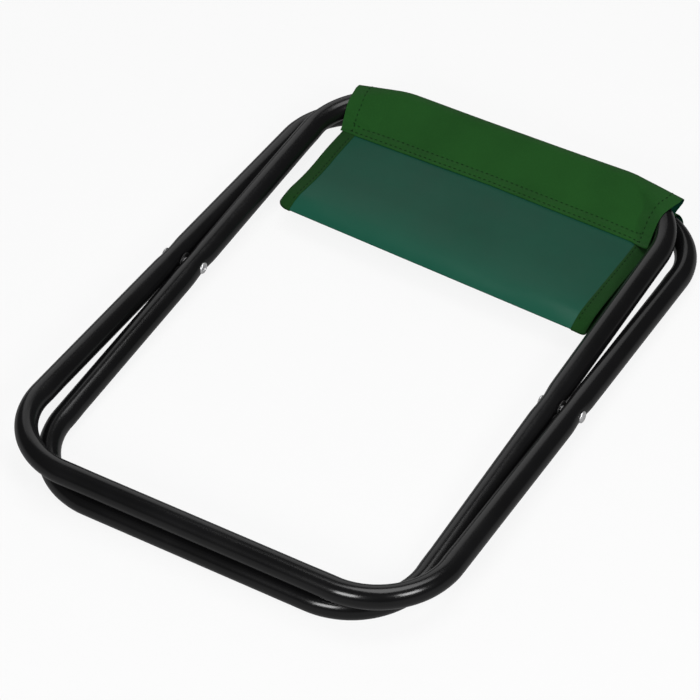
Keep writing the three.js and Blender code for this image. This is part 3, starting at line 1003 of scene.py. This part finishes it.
def sample_grid(grid, rows, columns):
    """Values of a grid at rows and columns that may lie between its own."""
    r = np.clip(np.floor(rows).astype(int), 0, grid.shape[0] - 2)
    c = np.clip(np.floor(columns).astype(int), 0, grid.shape[1] - 2)
    fr, fc = (rows - r)[..., None], (columns - c)[..., None]
    top = grid[r, c] * (1 - fc) + grid[r, c + 1] * fc
    bottom = grid[r + 1, c] * (1 - fc) + grid[r + 1, c + 1] * fc
    return top * (1 - fr) + bottom * fr


def on_cloth(half, along, across):
    rows = np.interp(along, half.along, np.arange(len(half.along)))
    columns = np.interp(across, half.across, np.arange(len(half.across)))
    rows, columns = np.broadcast_arrays(rows, columns)
    normal = sample_grid(half.normal, rows, columns)
    return (sample_grid(half.flat, rows, columns),
            normal / np.linalg.norm(normal, axis=-1, keepdims=True))


def in_place(points):
    return in_row_frame(points, BISECTOR_TILT)


def thick_sheet(name, middle, normal, thickness, materials, uvs, sides=(0, 1)):
    """A closed sheet of even thickness. The faces on the normals' side take material sides[0]."""
    rows, columns = middle.shape[:2]
    top = (middle + normal * thickness / 2).reshape(-1, 3)
    bottom = (middle - normal * thickness / 2).reshape(-1, 3)
    faces = grid_faces(rows, columns)
    count = rows * columns
    ring = np.concatenate([
        np.arange(columns - 1), np.arange(rows - 1) * columns + columns - 1,
        (rows - 1) * columns + np.arange(columns - 1, 0, -1), np.arange(rows - 1, 0, -1) * columns])
    after = np.roll(ring, -1)
    rim = np.stack([after, ring, ring + count, after + count], -1)
    all_faces = np.concatenate([faces, faces[:, ::-1] + count, rim])
    which = np.repeat([sides[0], sides[1], sides[1]], [len(faces), len(faces), len(rim)])
    points = in_place(np.concatenate([top, bottom]))
    obj = new_object(name, points, all_faces, materials, which,
                     np.concatenate([uvs, uvs]), CLOTH_SHARP)
    face_outward(obj)
    return obj


def whole_seat(upper, lower):
    """The grid of the whole seat: the upper half, round the fold, and back along the lower."""
    middle = np.concatenate([upper.flat, lower.flat[::-1]])
    normal = np.concatenate([upper.normal, lower.normal[::-1]])
    along = np.concatenate([upper.along, upper.along[-1] * 2 - lower.along[::-1]])
    return middle, normal, along


def seat_cloth(middle, normal, along, across):
    uvs = np.stack(np.broadcast_arrays(across[None, :] * HALF_WIDTH, along[:, None]), -1)
    return thick_sheet("seat_cloth", middle, normal, CLOTH, [COATED, WOVEN], uvs.reshape(-1, 2))


def side_hem(name, side, upper, lower):
    """The edge of the cloth turned on to the coated side, from one sleeve round the fold to the
    other. Each profile point is (inset from the cloth's edge, height above its middle)."""
    profile = [(SIDE_HEM, SIDE_HEM_LIP_HEIGHT * LAYER), (SIDE_HEM - SIDE_HEM_LIP, LAYER)]
    for inset in SIDE_HEM_INSETS:
        from_seam = (inset * MM - SIDE_SEAM_INSET) / SIDE_HEM_PUFF_WIDTH
        puff = SIDE_HEM_PUFF * (1 - math.exp(-(from_seam ** 2)))
        profile.append((inset * MM, LAYER + puff))
    out, up = SIDE_HEM_TURN
    for step in range(5):
        angle = math.radians(90 - SIDE_HEM_TURN_STEP * step)
        profile.append((-SIDE_HEM_OUT - out * math.cos(angle), out + up * math.sin(angle)))
    middle, normal, along = whole_seat(upper, lower)
    panel = upper.marks["panel"]
    past_sleeve = np.argmax(upper.flat[panel:, 0, 1] < HEM_Y - HIDDEN_HEM)
    hidden = max(past_sleeve - HIDDEN_HEM_ROWS, 3)
    rows = np.arange(panel + hidden, len(along) - lower.marks["panel"] - hidden)
    edge = middle[rows, -1 if side > 0 else 0]
    inner = middle[rows, -2 if side > 0 else 1]
    outward = (edge - inner) / np.linalg.norm(edge - inner, axis=-1, keepdims=True)
    points, uvs = [], []
    for inset, height in profile:
        u = side * (1 - max(inset, 0) / HALF_WIDTH)
        column = np.interp(u, upper.across, np.arange(len(upper.across)))
        columns = np.full(len(rows), column)
        base = sample_grid(middle, rows.astype(float), columns)
        raised = sample_grid(normal, rows.astype(float), columns) * height
        points.append(base + outward * max(-inset, 0) + raised)
        uvs.append(np.stack([np.full(len(rows), u * HALF_WIDTH), along[rows]], -1))
    points = np.array(points)
    down = np.gradient(points, axis=0)
    run = np.gradient(points, axis=1)
    normals = np.cross(down, run)
    normals = normals / np.linalg.norm(normals, axis=-1, keepdims=True)
    uvs = np.array(uvs).reshape(-1, 2)
    return thick_sheet(name, points, normals, SIDE_HEM_CLOTH, [WOVEN_HEM], uvs, (0, 0))


def stitches(name, tracks):
    """Short threads that rise from the cloth and dip back into it, one after another along each
    track. A track is a list of surface points and the directions out of the cloth there."""
    points, faces = [], []
    sides, stations = THREAD_SIDES, STITCH_STATIONS
    ring = np.arange(sides) * 2 * math.pi / sides
    for track, outs in tracks:
        lengths = np.concatenate([[0], np.cumsum(np.linalg.norm(np.diff(track, axis=0), axis=1))])
        for start in np.arange(FIRST_STITCH, lengths[-1] - STITCH_PITCH, STITCH_PITCH):
            at = np.linspace(start, start + STITCH_LENGTH, stations)
            place = np.stack([np.interp(at, lengths, track[:, i]) for i in range(3)], -1)
            out = np.stack([np.interp(at, lengths, outs[:, i]) for i in range(3)], -1)
            bow = np.sin(np.linspace(0, math.pi, stations))[:, None]
            place = place + out * (bow * STITCH_RISE - STITCH_SINK) * THREAD_R
            run = np.gradient(place, axis=0)
            run = run / np.linalg.norm(run, axis=-1, keepdims=True)
            wide = np.cross(run, out)
            wide = wide / np.linalg.norm(wide, axis=-1, keepdims=True)
            high = np.cross(wide, run)
            radius = THREAD_R * np.sqrt(np.maximum(STITCH_THIN_END, bow))
            skin = (place[:, None] + (radius * np.cos(ring))[..., None] * wide[:, None]
                    + (radius * np.sin(ring))[..., None] * high[:, None])
            base = len(points) * stations * sides
            points.append(skin.reshape(-1, 3))
            faces += (grid_faces(stations, sides, wrap_columns=True) + base).tolist()
            faces.append([base + i for i in range(sides)])
            faces.append([base + (stations - 1) * sides + i for i in reversed(range(sides))])
    obj = new_object(name, in_place(np.concatenate(points)), faces, [THREAD],
                     sharp=CLOTH_SHARP)
    face_outward(obj)
    return obj


def face_tracks(half, along, across, face, lift=0.0):
    """One seam row on the cloth: face is 1 for the coated side and -1 for the woven side."""
    place, normal = on_cloth(half, along, across)
    return place + normal * face * (CLOTH / 2 + lift), normal * face


def sew(half, name):
    """The half's seams as pieces: two rows along the sleeve's hem, and a row beside each edge."""
    edge = half.along[half.marks["edge"]]
    panel_from = half.along[half.marks["panel"]]
    u = np.linspace(-SEAM_REACH, SEAM_REACH, SEAM_POINTS)
    pieces = []
    for label, back in (("edge", SEAM_ROWS[0]), ("inner", SEAM_ROWS[1])):
        place, _ = on_cloth(half, np.full(len(u), edge + back), u)
        below = half.panel_along(place[:, 1])
        tracks = [face_tracks(half, edge + back + 0 * u, u, -1), face_tracks(half, below, u, -1)]
        row = stitches(f"{name}_sleeve_{label}_stitches", tracks)
        pieces.append((row, f"{name}_sleeve_{label}_seam"))
    for label, side in (("right", 1), ("left", -1)):
        across = side * (1 - SIDE_SEAM_INSET / HALF_WIDTH)
        flap = np.linspace(edge + SIDE_SEAM_START, panel_from - SLEEVE_SEAM_STOP,
                           SIDE_SEAM_POINTS)
        panel = np.linspace(half.panel_along(HEM_Y - SIDE_SEAM_START),
                            half.along[-1] - FOLD_SEAM_STOP, SIDE_SEAM_POINTS)
        tracks = [face_tracks(half, flap, across, -1), face_tracks(half, panel, across, -1),
                  face_tracks(half, panel, across, 1, LAYER)]
        row = stitches(f"{name}_{label}_side_stitches", tracks)
        pieces.append((row, f"{name}_{label}_side_seam"))
    for piece, node in pieces:
        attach(piece, f"seat_{name}")
        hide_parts(node)
    return [piece for piece, _ in pieces]


def build_frame():
    """The two loops, the rivets and washers between them, and the steel of the hidden spigots."""
    outer = tube_loop("outer_tube_loop", OUTER_WIDTH, OUTER_TILT, 1)
    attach(outer, "outer_frame")
    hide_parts("outer_tube")
    inner = tube_loop("inner_tube_loop", INNER_WIDTH, INNER_TILT, -1)
    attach(inner, "inner_frame")
    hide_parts("inner_tube")
    for side, direction in (("right", 1), ("left", -1)):
        for piece, node in ((rivet(f"{side}_pivot_rivet", direction), f"{side}_rivet"),
                            (washer(f"{side}_pivot_washer", direction), f"{side}_spacer_washer")):
            face_outward(piece)
            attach(piece, "outer_frame")
            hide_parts(node)
    for node in ("outer_tube_spigot", "inner_tube_spigot"):
        materials = frame["nodes"][node].data.materials
        materials.clear()
        materials.append(STEEL)


def build_seat():
    """The seat in one piece from sleeve to sleeve, its side hems and its stitches."""
    upper = ClothHalf(INNER_WIDTH, 1)
    lower = ClothHalf(OUTER_WIDTH, -1)
    middle, normal, along = whole_seat(upper, lower)
    seat = seat_cloth(middle, normal, along, upper.across)
    hems = {side: side_hem(f"{side}_side_hem", sign, upper, lower)
            for side, sign in (("right", 1), ("left", -1))}
    sewn_pieces = sew(upper, "upper") + sew(lower, "lower")
    for piece in (seat, *hems.values()):
        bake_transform(piece)
    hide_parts("seat_upper_half", "seat_lower_half")
    for side, hem in hems.items():
        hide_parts(f"upper_{side}_side_hem", f"lower_{side}_side_hem")


make_camera()
make_studio()
build_frame()
build_seat()
